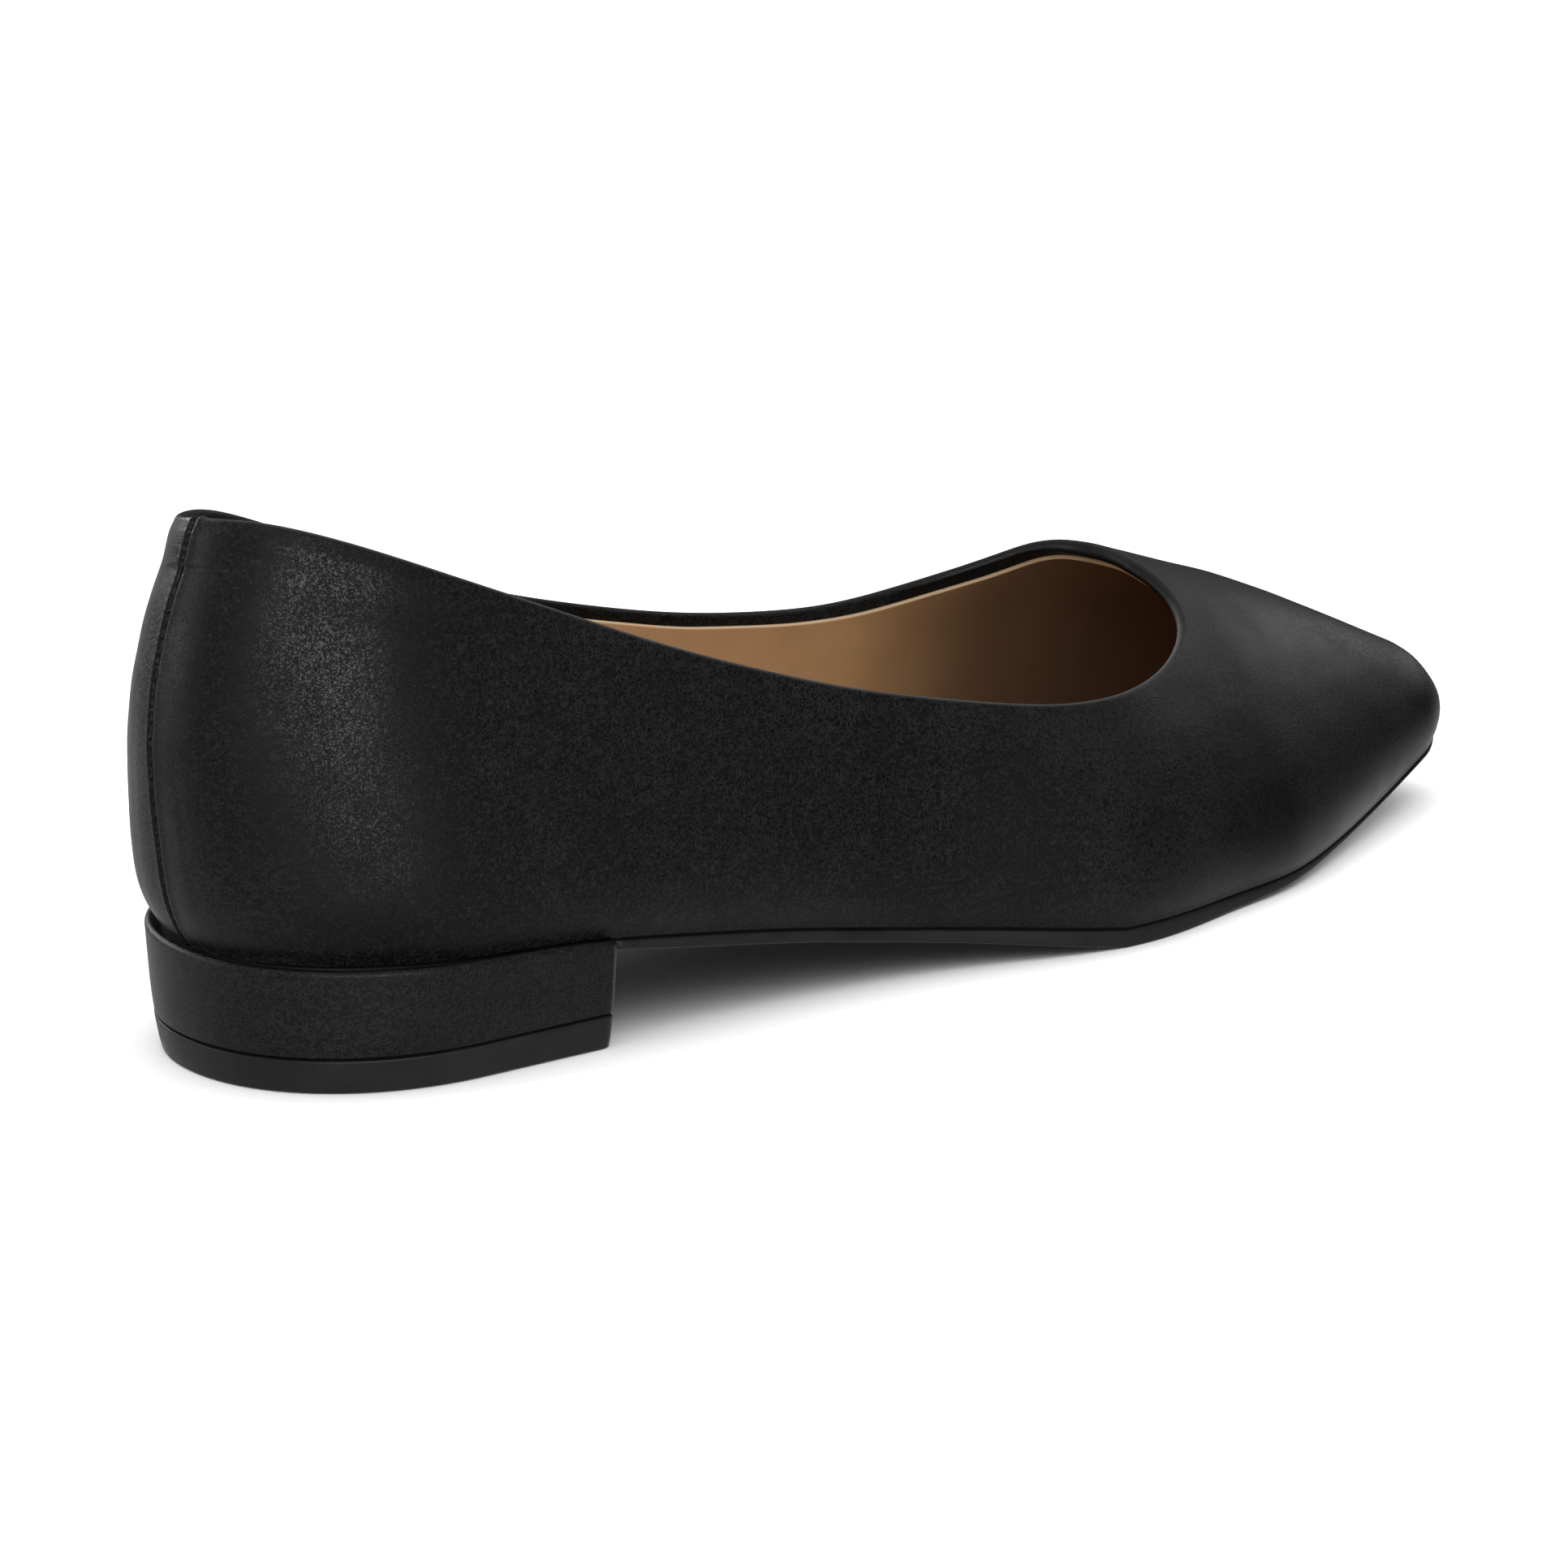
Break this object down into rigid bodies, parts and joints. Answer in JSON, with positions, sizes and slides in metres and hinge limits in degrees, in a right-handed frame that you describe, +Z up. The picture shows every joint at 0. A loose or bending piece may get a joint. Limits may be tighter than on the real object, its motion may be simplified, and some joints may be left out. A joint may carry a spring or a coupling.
{
  "type": "pointed ballet flat with a low block heel",
  "caption": "Black leather pointed-toe ballet flat, right shoe: hollow low-cut upper, tan insole, thin outsole and a low leather-covered block heel on a rubber top lift.",
  "frame": {"origin": "on the floor under the heel, 28.8 mm in front of the back of the feather edge, the line where upper and sole meet", "axes": "+X towards the toe, +Y towards the inner side of the right foot, +Z up"},
  "size_m": [0.256, 0.075, 0.0864],
  "materials": {
    "black_leather": "smooth black leather, fine grain, satin",
    "tan_leather": "smooth tan lining leather, matte",
    "sole_rubber": "black rubber sole, matte",
    "lift_rubber": "black moulded rubber, satin"
  },
  "bodies": {
    "root": {"upper": "black_leather", "insole": "tan_leather", "outsole": "sole_rubber", "heel": "black_leather", "top_lift": "lift_rubber"}
  },
  "joints": []
}
